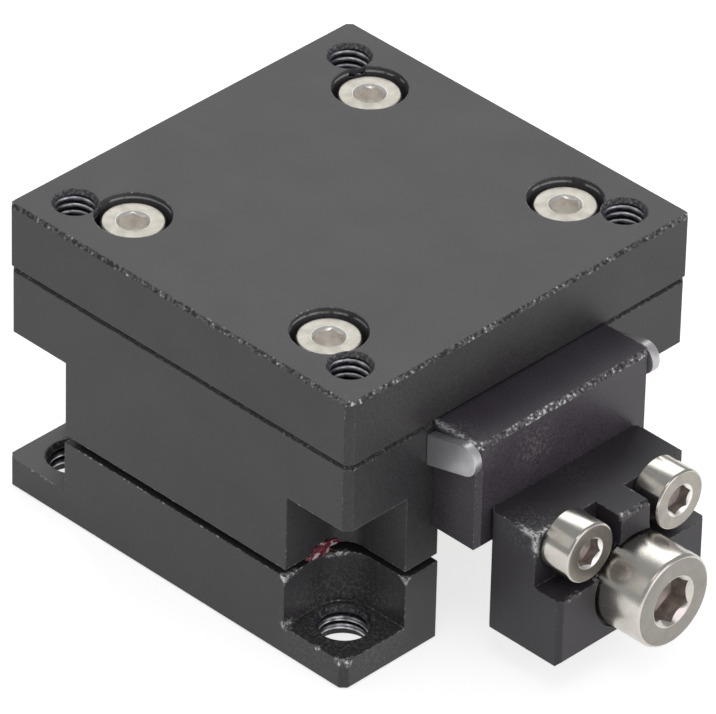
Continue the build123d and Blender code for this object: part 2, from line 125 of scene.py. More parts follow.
floor_mesh.from_pydata([(-reach, -reach, level), (reach, -reach, level), (reach, reach, level),
                        (-reach, reach, level)], [], [(0, 1, 2, 3)])
floor = bpy.data.objects.new("floor", floor_mesh)
scene.collection.objects.link(floor)
floor.data.materials.append(paper)

world = bpy.data.worlds.new("studio")
world.use_nodes = True
scene.world = world
tree = world.node_tree
tree.nodes.clear()
room = add(tree, "ShaderNodeBackground", {"Color": linear("#e9ebee"), "Strength": 0.50})
add(tree, "ShaderNodeOutputWorld", {"Surface": room})


lamp_distance = 0.9


def soft_box(name, azimuth, elevation, size, watts, code):
    """A square area lamp that faces the stage from a direction in degrees."""
    lamp = bpy.data.lights.new(name, "AREA")
    lamp.size = size
    lamp.energy = watts
    lamp.color = linear(code)[:3]
    a = math.radians(azimuth)
    e = math.radians(elevation)
    away = Vector((math.sin(a) * math.cos(e), -math.cos(a) * math.cos(e), math.sin(e)))
    holder = bpy.data.objects.new(name, lamp)
    scene.collection.objects.link(holder)
    holder.location = camera_aim + away * lamp_distance
    holder.rotation_euler = (-away).to_track_quat("-Z", "Y").to_euler()


soft_box("soft_box_overhead", azimuth=225, elevation=42, size=0.7, watts=3.2, code="#ffffff")
soft_box("soft_box_left", azimuth=-35, elevation=35, size=0.5, watts=0.28, code="#fff6ea")
soft_box("soft_box_right", azimuth=98, elevation=18, size=0.6, watts=1.8, code="#f2e6f0")
soft_box("soft_box_front", azimuth=44, elevation=62, size=0.25, watts=0.55, code="#ffffff")

# ------------------------------------------------------------------ base, carriage, table, bracket, block
# Milled from aluminium bar, bead-blasted, and dyed black in the anodising bath. The coat is
# a satin skin a hundredth of a millimetre thick: knocked corners show bare metal.
grain_size = 0.15 * MM         # blast marks, about 0.05 mm on the part, coarsened to show
grain_depth = 0.012 * MM
cloud_size = 5.0 * MM          # slow change of the dye over a face
chip_size = 0.30 * MM          # spacing of the knocks along the edges
run_size = 4.5 * MM            # stretches of edge with more knocks, and with fewer
edge_width = 0.16 * MM         # how far the fine wear of an edge reaches
knock_width = 0.8 * MM         # how far it reaches where the edge was knocked
scuff_size = 0.27 * MM         # specks where tools and fingers rub a face
dash_size = 1.3 * MM           # breaks in the painted highlight ring on a bore's wall
soft_step = 0.06 * MM          # softness of the limits between clean and worn
bare_aluminium = "#dfe1e0"
rubbed_coat = "#8b8988"
colour_a, colour_b, colour_out = 6, 7, 2      # a Mix node's sockets for colours


def spot(tree, place, x, y, z, radius, core, strength):
    """A round patch about a point in mm: its full strength within core times the radius, then fading."""
    away = add(tree, "ShaderNodeVectorMath", {0: place, 1: (x * MM, y * MM, z * MM)}, operation="DISTANCE")
    return add(tree, "ShaderNodeMapRange", {"Value": away.outputs["Value"], "From Min": radius * MM,
                                            "From Max": core * radius * MM, "To Max": strength})


def black_anodised(name, dye, tint, roughness, wear, knocks=(), scuffs=(), seam=None, bores=None,
                   sheltered=None):
    """Black anodised aluminium: blast grain, worn rims, sloping chamfers darkened as painted shade, and in
    millimetres knocked stretches of rim as (x, y, z, radius, amount), scuffed patches of face as (x, y, z,
    radius, amount), the height above which a seam's rim is darkened as painted shade, four bores as (x, y,
    radius, low, high) whose walls are lightened as painted light, with a broken painted highlight ring drawn
    as bare metal between low and high, and a height below which the rims are sheltered from wear."""
    made, tree = new_material(name)
    place = add(tree, "ShaderNodeTexCoord").outputs["Object"]
    height = add(tree, "ShaderNodeSeparateXYZ", {0: place}).outputs["Z"]
    grain = add(tree, "ShaderNodeTexNoise", {"Vector": place, "Scale": 1 / grain_size, "Detail": 2.0})
    cloud = add(tree, "ShaderNodeTexNoise", {"Vector": place, "Scale": 1 / cloud_size, "Detail": 3.0})
    chips = add(tree, "ShaderNodeTexNoise", {"Vector": place, "Scale": 1 / chip_size, "Detail": 1.5})
    runs = add(tree, "ShaderNodeTexNoise", {"Vector": place, "Scale": 1 / run_size, "Detail": 2.0})

    # rims: the milled chamfers that slope, and the fine corner beside each of them
    surface = add(tree, "ShaderNodeNewGeometry")
    upward = add(tree, "ShaderNodeSeparateXYZ", {0: surface.outputs["True Normal"]})
    steep = add(tree, "ShaderNodeMath", {0: upward.outputs["Z"]}, operation="ABSOLUTE")
    off_upright = add(tree, "ShaderNodeMapRange", {"Value": steep, "From Min": 0.25, "From Max": 0.45})
    off_level = add(tree, "ShaderNodeMapRange", {"Value": steep, "From Min": 0.97, "From Max": 0.88})
    chamfer = add(tree, "ShaderNodeMath", {0: off_upright, 1: off_level}, operation="MULTIPLY")
    rounded = add(tree, "ShaderNodeBevel", {"Radius": edge_width}, samples=6)
    facing = add(tree, "ShaderNodeVectorMath", {0: rounded, 1: surface.outputs["Normal"]},
                 operation="DOT_PRODUCT")
    corner = add(tree, "ShaderNodeMapRange", {"Value": facing.outputs["Value"], "From Min": 0.998,
                                              "From Max": 0.95})
    tilt = add(tree, "ShaderNodeSeparateXYZ", {0: rounded})
    tilt = add(tree, "ShaderNodeMath", {0: tilt.outputs["Z"]}, operation="ABSOLUTE")
    lying = add(tree, "ShaderNodeMapRange", {"Value": tilt, "From Min": 0.05, "From Max": 0.3,
                                             "To Min": 0.35})
    corner = add(tree, "ShaderNodeMath", {0: corner, 1: lying}, operation="MULTIPLY")
    edge = add(tree, "ShaderNodeMath", {0: chamfer, 1: corner}, operation="MAXIMUM")

    # how worn each stretch of rim is; at a knock the wear spreads onto the faces
    near = 0.0
    for x, y, z, radius, strength in knocks:
        knock = spot(tree, place, x, y, z, radius, core=0.4, strength=strength)
        near = add(tree, "ShaderNodeMath", {0: near, 1: knock}, operation="ADD")
    amount = add(tree, "ShaderNodeMapRange", {"Value": runs, "From Min": 0.36, "From Max": 0.64,
                                              "To Min": wear - 0.05, "To Max": wear + 0.05})
    amount = add(tree, "ShaderNodeMath", {0: amount, 1: near}, operation="ADD")
    broad = add(tree, "ShaderNodeBevel", {"Radius": knock_width}, samples=6)
    turned = add(tree, "ShaderNodeVectorMath", {0: broad, 1: surface.outputs["Normal"]},
                 operation="DOT_PRODUCT")
    beside = add(tree, "ShaderNodeMapRange", {"Value": turned.outputs["Value"], "From Min": 0.9999,
                                              "From Max": 0.985})
    beside = add(tree, "ShaderNodeMath", {0: beside, 1: near}, operation="MULTIPLY")
    beside = add(tree, "ShaderNodeMapRange", {"Value": beside, "From Min": 0.09, "From Max": 0.16})
    edge = add(tree, "ShaderNodeMath", {0: edge, 1: beside}, operation="MAXIMUM")
    if sheltered:
        open_rim = add(tree, "ShaderNodeMapRange", {"Value": height, "From Min": sheltered * MM,
                                                    "From Max": (sheltered + 0.1) * MM, "To Min": 0.25})
        edge = add(tree, "ShaderNodeMath", {0: edge, 1: open_rim}, operation="MULTIPLY")

    # bare metal in the deepest chips, thinned dye round them and in the scuffs
    depth = add(tree, "ShaderNodeMath", {0: chips, 1: amount}, operation="ADD")
    bare_and_highlight = add(tree, "ShaderNodeMapRange", {"Value": depth, "From Min": 0.67, "From Max": 0.73})
    bare_and_highlight = add(tree, "ShaderNodeMath", {0: bare_and_highlight, 1: edge}, operation="MULTIPLY")
    rubbed = add(tree, "ShaderNodeMapRange", {"Value": depth, "From Min": 0.40, "From Max": 0.66,
                                              "To Max": 0.75})
    rubbed = add(tree, "ShaderNodeMath", {0: rubbed, 1: edge}, operation="MULTIPLY")
    if scuffs:
        specks = add(tree, "ShaderNodeTexNoise", {"Vector": place, "Scale": 1 / scuff_size, "Detail": 2.0})
    for x, y, z, radius, strength in scuffs:
        patch = spot(tree, place, x, y, z, radius, core=0.2, strength=1.0)
        speck = add(tree, "ShaderNodeMapRange", {"Value": specks, "From Min": 0.44, "From Max": 0.66,
                                                 "To Max": strength})
        speck = add(tree, "ShaderNodeMath", {0: speck, 1: patch}, operation="MULTIPLY")
        rubbed = add(tree, "ShaderNodeMath", {0: rubbed, 1: speck}, operation="MAXIMUM")

    # the dye drifts a little in hue and depth, and the blast marks are light and dark
    dyed = add(tree, "ShaderNodeMix", {"Factor": cloud, colour_a: linear(dye), colour_b: linear(tint)},
               data_type="RGBA")
    drift = add(tree, "ShaderNodeMapRange", {"Value": cloud, "From Min": 0.3, "From Max": 0.7,
                                             "To Min": 0.88, "To Max": 1.14})
    blasted = add(tree, "ShaderNodeMapRange", {"Value": grain, "From Min": 0.3, "From Max": 0.7,
                                               "To Min": 0.62, "To Max": 1.38})
    tone = add(tree, "ShaderNodeMath", {0: drift, 1: blasted}, operation="MULTIPLY")

    # bores: painted light that lightens the wall's tone, and a broken painted highlight ring drawn as bare
    # metal
    if bores:
        bore_x, bore_y, bore_radius, ring_low, ring_high = bores
        mirrored = add(tree, "ShaderNodeVectorMath", {0: place}, operation="ABSOLUTE")
        level_out = add(tree, "ShaderNodeVectorMath", {0: mirrored, 1: (1, 1, 0)}, operation="MULTIPLY")
        away = add(tree, "ShaderNodeVectorMath", {0: level_out, 1: (bore_x * MM, bore_y * MM, 0)},
                   operation="DISTANCE")
        wall = add(tree, "ShaderNodeMath", {0: away.outputs["Value"], 1: (bore_radius + 0.04) * MM},
                   operation="LESS_THAN")
        above = add(tree, "ShaderNodeMapRange", {"Value": height, "From Min": ring_low * MM,
                                                 "From Max": ring_low * MM + soft_step})
        below = add(tree, "ShaderNodeMapRange", {"Value": height, "From Min": ring_high * MM,
                                                 "From Max": ring_high * MM - soft_step})
        ring = add(tree, "ShaderNodeMath", {0: above, 1: below}, operation="MULTIPLY")
        ring = add(tree, "ShaderNodeMath", {0: ring, 1: wall}, operation="MULTIPLY")
        dashes = add(tree, "ShaderNodeTexNoise", {"Vector": place, "Scale": 1 / dash_size})
        broken = add(tree, "ShaderNodeMapRange", {"Value": dashes, "From Min": 0.45, "From Max": 0.53})
        ring = add(tree, "ShaderNodeMath", {0: ring, 1: broken}, operation="MULTIPLY")
        # painted highlight: the broken ring is drawn in bare metal's colour
        bare_and_highlight = add(tree, "ShaderNodeMath", {0: bare_and_highlight, 1: ring}, operation="MAXIMUM")
        # painted light: the bore's wall is lightened up to 2.4 times
        painted_bore_light = add(tree, "ShaderNodeMapRange", {"Value": wall, "To Min": 1.0, "To Max": 2.4})
        tone = add(tree, "ShaderNodeMath", {0: tone, 1: painted_bore_light}, operation="MULTIPLY")
    # painted shade: above the seam height the rim's tone is darkened to 0.3, and its wear is hidden there
    if seam:
        seam_shade = add(tree, "ShaderNodeMapRange", {"Value": height, "From Min": seam * MM,
                                                 "From Max": seam * MM + soft_step,
                                                 "To Min": 1.0, "To Max": 0.3})
        tone = add(tree, "ShaderNodeMath", {0: tone, 1: seam_shade}, operation="MULTIPLY")
        bare_and_highlight = add(tree, "ShaderNodeMath", {0: bare_and_highlight, 1: seam_shade}, operation="MULTIPLY")
        rubbed = add(tree, "ShaderNodeMath", {0: rubbed, 1: seam_shade}, operation="MULTIPLY")
    # painted shade: the sloping chamfers' tone is darkened to 0.62
    shade = add(tree, "ShaderNodeMapRange", {"Value": chamfer, "To Min": 1.0, "To Max": 0.62})
    tone = add(tree, "ShaderNodeMath", {0: tone, 1: shade}, operation="MULTIPLY")

    # the coat over the metal, with the metal bare where it is torn and in the painted highlight ring
    coat = add(tree, "ShaderNodeVectorMath", {0: dyed.outputs[colour_out], "Scale": tone}, operation="SCALE")
    coat = add(tree, "ShaderNodeMix", {"Factor": rubbed, colour_a: coat, colour_b: linear(rubbed_coat)},
               data_type="RGBA")
    colour = add(tree, "ShaderNodeMix", {"Factor": bare_and_highlight, colour_a: coat.outputs[colour_out],
                                         colour_b: linear(bare_aluminium)}, data_type="RGBA")
    metal = add(tree, "ShaderNodeMath", {0: bare_and_highlight, 1: 0.5}, operation="MULTIPLY")
    rough = add(tree, "ShaderNodeMapRange", {"Value": grain, "From Min": 0.3, "From Max": 0.7,
                                             "To Min": roughness - 0.06, "To Max": roughness + 0.07})
    bump = add(tree, "ShaderNodeBump", {"Height": grain, "Strength": 0.5, "Distance": grain_depth,
                                        "Normal": rounded})
    shader = add(tree, "ShaderNodeBsdfPrincipled", {"Base Color": colour.outputs[colour_out],
                                                    "Metallic": metal, "Roughness": rough, "IOR": 1.45,
                                                    "Normal": bump})
    add(tree, "ShaderNodeOutputMaterial", {"Surface": shader})
    return made


def dress(node, made):
    """Puts a material on a CAD node."""
    nodes[node].data.materials.clear()
    nodes[node].data.materials.append(made)


# the base is knocked about most: notch and flange corners, and grit round the tapped hole in front
base_knocks = [(13.2, -14.2, 8, 2.2, 0.16), (13, -18.9, 8, 1.4, 0.13), (20, -13, 8, 1.2, 0.14),
               (13, -19.5, 3, 1.3, 0.15), (19.6, -19.6, 3, 1.5, 0.16), (16.8, -20, 3, 0.7, 0.16),
               (20, -13, 3, 1.2, 0.10), (13, -20, 8, 1.2, 0.12), (-16, -20, 3, 3.0, 0.05),
               (-9, -20, 8, 7.0, 0.08), (3, -20, 8, 8.0, 0.06)]
base_scuffs = [(16, -16, 3, 6.0, 0.62), (16, -14, 6, 4.0, 0.2)]
dress("base_block", black_anodised("black_anodised_base", "#3c383c", "#383a38", roughness=0.43, wear=0.02,
                                   knocks=base_knocks, scuffs=base_scuffs))

# the carriage is nearly clean; its rim under the table is darkened as painted shade of the seam
carriage_knocks = [(19.6, -19.6, 22.0, 0.9, 0.10), (20, -12.8, 8.7, 1.4, 0.09), (13, -19, 8.7, 1.5, 0.06)]
seam_height = 22.06
dress("carriage_block", black_anodised("black_anodised_carriage", "#3a363a", "#363836", roughness=0.42,
                                       wear=0.0, knocks=carriage_knocks, seam=seam_height))

# the table's rims are rubbed to a dotted grey line; each counterbore's wall is lightened as painted light and
# carries a broken painted highlight ring
table_knocks = [(19.7, -19.7, 28.7, 1.1, 0.08), (-20, 20, 28.8, 4.0, 0.03), (20, -18.8, 22.4, 0.5, 0.2)]
# faint lighter grey specks over the table's right side near its front corner
table_side_specks = [(20, -17, 25.5, 7.0, 0.09)]
table_screw_x = 11.4           # mm, the table's screws and their bores
table_screw_y = 13.8
table_bores = (table_screw_x, table_screw_y, 3.3, 28.18, 28.44)
dress("table_plate", black_anodised("black_anodised_table", "#3d393c", "#3a3c39", roughness=0.47, wear=0.01,
                                    knocks=table_knocks, scuffs=table_side_specks, bores=table_bores,
                                    sheltered=23.1))

# the bracket's dye took a violet cast, and its top front edge is rubbed where the hand rests
bracket_knocks = [(21.5, -10, 22.4, 3.0, 0.24), (24.5, -10, 22.4, 1.2, 0.18), (25, -3, 22.4, 5.0, 0.03),
                  (25, 9.5, 22.4, 2.2, 0.05)]
bracket_scuffs = [(25, -3.5, 19.5, 3.0, 0.5), (25, -9.0, 21.5, 2.4, 0.25), (22, -10, 21.6, 2.2, 0.6)]
dress("drive_bracket", black_anodised("black_anodised_bracket", "#48414a", "#444145", roughness=0.42,
                                      wear=0.02, knocks=bracket_knocks, scuffs=bracket_scuffs))

# the screw block is the blackest, with keys' marks round its pockets
block_knocks = [(30, -8.6, 15.6, 3.4, 0.19), (33.2, -7, 10.4, 1.6, 0.13), (33.2, -1.6, 15.6, 1.2, 0.13),
                (33.2, -4, 10.4, 1.0, 0.17)]
block_scuffs = [(29, -7.6, 15.6, 3.4, 0.35), (26, 0, 15.6, 3.0, 0.10)]
dress("screw_block", black_anodised("black_anodised_block", "#353037", "#333133", roughness=0.46, wear=0.01,
                                    knocks=block_knocks, scuffs=block_scuffs))

# ------------------------------------------------------------------ tapped holes
# M5 threads through the base's flanges and M4 threads through the table. They are tapped
# before the anodising, so they are black, and screws have rubbed their crests bright.
patch_size = 0.9 * MM          # handling stains and uneven tumbling


def turned_metal(name, code, patch, roughness, mark_size, mark_depth, metallic=1.0):
    """Bare metal turned round its own Z axis: fine tool rings, patches of a second tone, uneven gloss.
    The rings are about 0.02 mm apart on the part, and mark_size is coarser, to show."""
    made, tree = new_material(name)
    place = add(tree, "ShaderNodeTexCoord").outputs["Object"]
    split = add(tree, "ShaderNodeSeparateXYZ", {0: place})
    flat = add(tree, "ShaderNodeCombineXYZ", {0: split.outputs["X"], 1: split.outputs["Y"]})
    radius = add(tree, "ShaderNodeVectorMath", {0: flat}, operation="LENGTH").outputs["Value"]
    rings = add(tree, "ShaderNodeCombineXYZ", {0: radius, 1: split.outputs["Z"]})
    marks = add(tree, "ShaderNodeTexNoise", {"Vector": rings, "Scale": 1 / mark_size, "Detail": 2.0})
    patches = add(tree, "ShaderNodeTexNoise", {"Vector": place, "Scale": 1 / patch_size, "Detail": 4.0})
    tint = add(tree, "ShaderNodeMapRange", {"Value": patches, "From Min": 0.35, "From Max": 0.65})
    tint = add(tree, "ShaderNodeMix", {"Factor": tint, colour_a: linear(code), colour_b: linear(patch)},
               data_type="RGBA")
    rough = add(tree, "ShaderNodeMapRange", {"Value": patches, "From Min": 0.3, "From Max": 0.7,
                                             "To Min": roughness - 0.03, "To Max": roughness + 0.04})
    bump = add(tree, "ShaderNodeBump", {"Height": marks, "Strength": 0.3, "Distance": mark_depth})
    shader = add(tree, "ShaderNodeBsdfPrincipled", {"Base Color": tint.outputs[colour_out],
                                                    "Metallic": metallic, "Roughness": rough,
                                                    "Normal": bump})
    add(tree, "ShaderNodeOutputMaterial", {"Surface": shader})
    return made


def piece(name, verts, faces, slots, materials, place, body, smooth_angle):
    """A mesh piece of several materials, smooth below an angle in degrees, riding on a body."""
    mesh = bpy.data.meshes.new(name)
    mesh.from_pydata(verts, [], faces)
    for face, slot in zip(mesh.polygons, slots):
        face.material_index = slot
        face.use_smooth = True
    mesh.set_sharp_from_angle(angle=math.radians(smooth_angle))
    made = bpy.data.objects.new(name, mesh)
    scene.collection.objects.link(made)
    made.matrix_world = place
    for material in materials:
        made.data.materials.append(material)
    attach(made, body)
    return made


# bright lines of bare crest, half of them dulled again by dirt
thread_crest = turned_metal("bare_aluminium_thread_crest", "#e6e6ea", "#77767d", roughness=0.36,
                            mark_size=0.08 * MM, mark_depth=0.004 * MM)
# black valleys between the crests, with an oily gloss
thread_flank = black_anodised("black_anodised_thread_flank", "#3b3a40", "#343338", roughness=0.30,
                              wear=-0.2)
# a grey, dull ring where the tap went in
tapped_mouth = black_anodised("black_anodised_tapped_mouth", "#4c4b50", "#413f44", roughness=0.38,
                              wear=-0.08)
steps_per_turn = 60
thread_cut = 0.54              # a thread's depth, as a share of its pitch
skin = 0.03 * MM               # how far a ridge is let into the wall of its hole


def thread_ridge(name, x, y, low, high, top, major, pitch, crest_height, body):
    """An internal thread's ridge in a hole's wall: a closed helical strip with a rounded crest, and
    the countersink under the hole's mouth at top that led the tap in.
    crest_height is a height at which the crest passes the plan angle zero."""
    minor = major - thread_cut * pitch
    wall = major + skin
    flank, crest, mouth = range(3)
    section = [(wall, -0.49, flank), (minor + 0.06 * pitch, -0.18, crest), (minor, -0.05, crest),
               (minor + 0.03 * pitch, 0.11, crest), (minor + 0.10 * pitch, 0.22, crest),
               (minor + 0.20 * pitch, 0.32, flank), (wall, 0.49, flank)]
    across = len(section)
    start = low + 0.5 * pitch
    first = math.ceil((start - crest_height) / pitch * steps_per_turn)
    last = math.floor((high - 0.5 * pitch - crest_height) / pitch * steps_per_turn)
    fade = steps_per_turn // 5
    verts = []
    faces = []
    slots = []
    for i in range(first, last + 1):
        angle = 2 * math.pi * i / steps_per_turn
        z = crest_height + pitch * i / steps_per_turn
        grown = min(1.0, (i - first) / fade, (last - i) / fade)
        for radius, rise, _ in section:
            r = wall - (wall - radius) * max(0.03, grown)
            verts.append((r * math.cos(angle), r * math.sin(angle), z + rise * pitch * (0.3 + 0.7 * grown)))
    for i in range(last - first):
        for j in range(across):
            k = (j + 1) % across
            faces.append((across * i + j, across * i + k, across * (i + 1) + k, across * (i + 1) + j))
            slots.append(section[j][-1])
    faces.append(tuple(reversed(range(across))))
    faces.append(tuple(across * (last - first) + j for j in range(across)))
    slots += [flank, flank]

    # the countersink: a ring just under the mouth, a thread's depth wide and high
    lip = top - 0.01 * MM
    inside = minor + 0.04 * MM
    foot = lip - thread_cut * pitch
    lead_in = [(wall, lip), (major - 0.02 * MM, lip), (inside, foot + 0.04 * MM),
               (inside, foot - 0.03 * MM), (wall, foot - 0.12 * MM)]
    sides = len(lead_in)
    start = len(verts)
    for i in range(steps_per_turn):
        angle = 2 * math.pi * i / steps_per_turn
        verts += [(r * math.cos(angle), r * math.sin(angle), z) for r, z in lead_in]
    for i in range(steps_per_turn):
        near = start + sides * i
        far = start + sides * ((i + 1) % steps_per_turn)
        for j in range(sides):
            k = (j + 1) % sides
            faces.append((near + j, near + k, far + k, far + j))
            slots.append(mouth)
    return piece(name, verts, faces, slots, [thread_flank, thread_crest, tapped_mouth],
                 Matrix.Translation((x, y, 0)), body, 40)


hole_half = 16.0 * MM          # half the spacing of the holes, in the base and in the table
quarters = [(-1, -1), (-1, 1), (1, -1), (1, 1)]
base_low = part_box("base_block")[0]
table_low, table_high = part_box("table_plate")
flange_top = base_low.z + 3.0 * MM
m5_radius = 2.5 * MM
m5_pitch = 0.8 * MM
m4_radius = 2.0 * MM
m4_pitch = 0.7 * MM
for i, (sx, sy) in enumerate(quarters):
    thread_ridge(f"base_thread_{i}", sx * hole_half, sy * hole_half, low=base_low.z + 0.1 * MM,
                 high=flange_top - 0.05 * MM, top=flange_top, major=m5_radius, pitch=m5_pitch,
                 crest_height=0.632 * MM, body="base")
    thread_ridge(f"table_thread_{i}", sx * hole_half, sy * hole_half, low=table_low.z + 0.2 * MM,
                 high=table_high.z - 0.15 * MM, top=table_high.z, major=m4_radius, pitch=m4_pitch,
                 crest_height=27.729 * MM, body="carriage")

# ------------------------------------------------------------------ guides and nut
# Hardened bearing steel, ground all over; the cages are rolled brass strip, the nut is
# turned bronze, and the small screws, stops and washers are stainless steel.
# rails: cool grey with a silky grinding gloss
ground_steel = turned_metal("ground_bearing_steel", "#9c9b9a", "#8d8c8c", roughness=0.28,
                            mark_size=0.04 * MM, mark_depth=0.002 * MM)
# rollers: nearly a mirror
lapped_steel = turned_metal("lapped_roller_steel", "#b9b8b6", "#aeadab", roughness=0.14,
                            mark_size=0.03 * MM, mark_depth=0.001 * MM)
# cages: a soft yellow sheen
cage_brass = turned_metal("rolled_brass_strip", "#c9a35c", "#b9924e", roughness=0.30,
                          mark_size=0.05 * MM, mark_depth=0.002 * MM)
# nut: brown gold with fine rings
nut_bronze = turned_metal("turned_bronze", "#a67b45", "#98703f", roughness=0.30,
                          mark_size=0.06 * MM, mark_depth=0.004 * MM)
# small parts: a warm, even silver
stainless = turned_metal("stainless_steel_small_parts", "#c4bfb6", "#b2ada4", roughness=0.27,
                         mark_size=0.05 * MM, mark_depth=0.003 * MM)
for side in ("left", "right"):
    dress(f"base_rail_{side}", ground_steel)
    dress(f"carriage_rail_{side}", ground_steel)
    dress(f"rollers_{side}", lapped_steel)
    dress(f"cage_{side}", cage_brass)
dress("feed_nut", nut_bronze)
for node in ("base_rail_screws", "rail_end_stops", "nut_screws", "stop_pin", "carriage_rail_screws",
             "preload_screws", "bracket_screws", "thrust_washer", "retaining_ring"):
    dress(node, stainless)

# ------------------------------------------------------------------ cap screws
# Stainless socket cap screws: the head is cold formed, then its rim is rounded in a
# tumbler; the hexagon is punched and its mouth countersunk. The thread is rolled.
ring_steps = 72
rim_steps = 5
turns_split = 8                # rings in one turn of a thread


def hexagon_reach(flats, angle):
    """Distance from the axis to a hexagon's side at an angle."""
    sixth = math.pi / 3
    return flats / 2 / math.cos(angle % sixth - sixth / 2)


def cap_screw(name, head_radius, head_height, flats, depth, thread_radius, length, pitch,
              place, materials, body, node):
    """A socket cap screw along its local Z, head up, seated at place, with a modelled thread.
    The materials are those of the shank and head's side, the head's face, the socket, and the
    countersink of its mouth."""
    rim = 0.09 * head_radius
    foot = 0.14 * MM
    mouth = flats / math.sqrt(3) * 1.08      # just past the hexagon's corners
    angles = [2 * math.pi * i / ring_steps for i in range(ring_steps)]
    floor_level = head_height - depth
    rings = [[(0.25 * flats, floor_level - 0.12 * flats)] * ring_steps,
             [(hexagon_reach(flats, a) * 0.97, floor_level) for a in angles],
             [(hexagon_reach(flats, a), floor_level + 0.06 * flats) for a in angles],
             [(hexagon_reach(flats, a), head_height - 0.9 * (mouth - hexagon_reach(flats, a)) - 0.02 * MM)
              for a in angles]]
    socket_bands = len(rings)
    outline = [(mouth, head_height - 0.012 * MM), (mouth + 0.05 * MM, head_height),
               (head_radius - rim - 0.05 * MM, head_height)]
    for k in range(rim_steps + 1):
        angle = math.pi / 2 * k / rim_steps
        outline.append((head_radius - rim + rim * math.sin(angle), head_height - rim + rim * math.cos(angle)))
    face_bands = socket_bands + 4      # the flat face and the first steps of the rim
    outline += [(head_radius, foot), (head_radius - foot, 0)]
    outline += [(thread_radius + 0.1 * MM, 0), (thread_radius, -0.1 * MM)]
    rings += [[(r, z)] * ring_steps for r, z in outline]
    thread_depth = 0.6 * pitch
    for k in range(int((length - 0.8 * MM) / (pitch / turns_split))):
        z = -0.3 * MM - k * pitch / turns_split
        ring = []
        for i in range(ring_steps):
            phase = (z / pitch + i / ring_steps) % 1.0
            flank = min(1.0, max(0.0, 2.4 * abs(phase - 0.5) - 0.1))
            ring.append((thread_radius - thread_depth * (1 - flank) * min(1.0, k / turns_split), z))
        rings.append(ring)
    core = thread_radius - thread_depth
    rings.append([(core, 0.3 * MM - length)] * ring_steps)
    rings.append([(core - 0.2 * MM, -length)] * ring_steps)
    verts = [(r * math.cos(a), r * math.sin(a), z) for ring in rings for (r, z), a in zip(ring, angles)]
    faces = []
    slots = []
    side_slot, face_slot, socket_slot, mouth_slot = range(4)
    for j in range(len(rings) - 1):
        if j < socket_bands - 1:
            slot = socket_slot
        elif j == socket_bands - 1:
            slot = mouth_slot
        elif socket_bands < j < face_bands:
            slot = face_slot
        else:
            slot = side_slot
        for i in range(ring_steps):
            k = (i + 1) % ring_steps
            faces.append((j * ring_steps + i, (j + 1) * ring_steps + i, (j + 1) * ring_steps + k,
                          j * ring_steps + k))
            slots.append(slot)
    verts += [(0, 0, floor_level - 0.2 * flats), (0, 0, -length)]
    last = (len(rings) - 1) * ring_steps
    for i in range(ring_steps):
        k = (i + 1) % ring_steps
        faces += [(len(verts) - 2, i, k), (len(verts) - 1, last + k, last + i)]
        slots += [socket_slot, side_slot]
    made = piece(name, verts, faces, slots, materials, place, body, 32)
    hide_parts(node)
    return made


# the head's side: bright, with soft bands of light and dark
tumbled_side = turned_metal("tumbled_stainless_head_side", "#c6c2ba", "#bebab2", roughness=0.19,
                            mark_size=0.07 * MM, mark_depth=0.0012 * MM)
# the head's face: an even, matt silver
blasted_face = turned_metal("matt_stainless_head_face", "#a09c94", "#959188", roughness=0.38,
                            mark_size=0.09 * MM, mark_depth=0.004 * MM)
# the socket: painted light, a pale and mostly non-metal colour that lightens the shaded hexagon
socket_painted_light = turned_metal("pale_socket_painted_light", "#f0ebe3", "#d3cabf", roughness=0.45,
                              mark_size=0.12 * MM, mark_depth=0.006 * MM, metallic=0.2)
# the mouth's countersink: a thin, bright line round the hexagon
bright_mouth = turned_metal("countersunk_stainless_mouth", "#f2f0ec", "#e2dfd8", roughness=0.30,
                            mark_size=0.08 * MM, mark_depth=0.002 * MM)
m3_head_radius = 2.75 * MM
m3_head_height = 3.0 * MM
m3_radius = 1.5 * MM
m3_pitch = 0.5 * MM
table_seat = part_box("table_screws")[1].z - m3_head_height
for i, (sx, sy) in enumerate(quarters):
    spin = Matrix.Rotation(math.radians(17.0 + 23.0 * i), 4, "Z")      # each stops where it was tight
    place = Matrix.Translation((sx * table_screw_x * MM, sy * table_screw_y * MM, table_seat)) @ spin
    cap_screw(f"table_screw_{i}", m3_head_radius, m3_head_height, flats=2.28 * MM, depth=0.95 * MM,
              thread_radius=m3_radius, length=8.0 * MM, pitch=m3_pitch, place=place,
              materials=[tumbled_side, blasted_face, socket_painted_light, bright_mouth],
              body="carriage", node="table_screws")

# ------------------------------------------------------------------ drive end
# The block's two M3 screws and the M5 feed screw, all with their heads outwards. Their
# faces are bright, since hex keys and fingers polish them.
# the small heads' face: satin, smoothed by use
worn_face = turned_metal("hand_polished_head_face", "#a19d95", "#97928a", roughness=0.30,
                         mark_size=0.10 * MM, mark_depth=0.003 * MM)
# the large head's side: satin, mirroring its neighbours softly
feed_side = turned_metal("turned_stainless_feed_head", "#ccc8c0", "#c6c2ba", roughness=0.25,
                         mark_size=0.07 * MM, mark_depth=0.0002 * MM)
# its face: a shade darker, with faint rings
feed_face = turned_metal("faced_stainless_feed_head", "#928e87", "#8a8680", roughness=0.30,
                         mark_size=0.10 * MM, mark_depth=0.003 * MM)
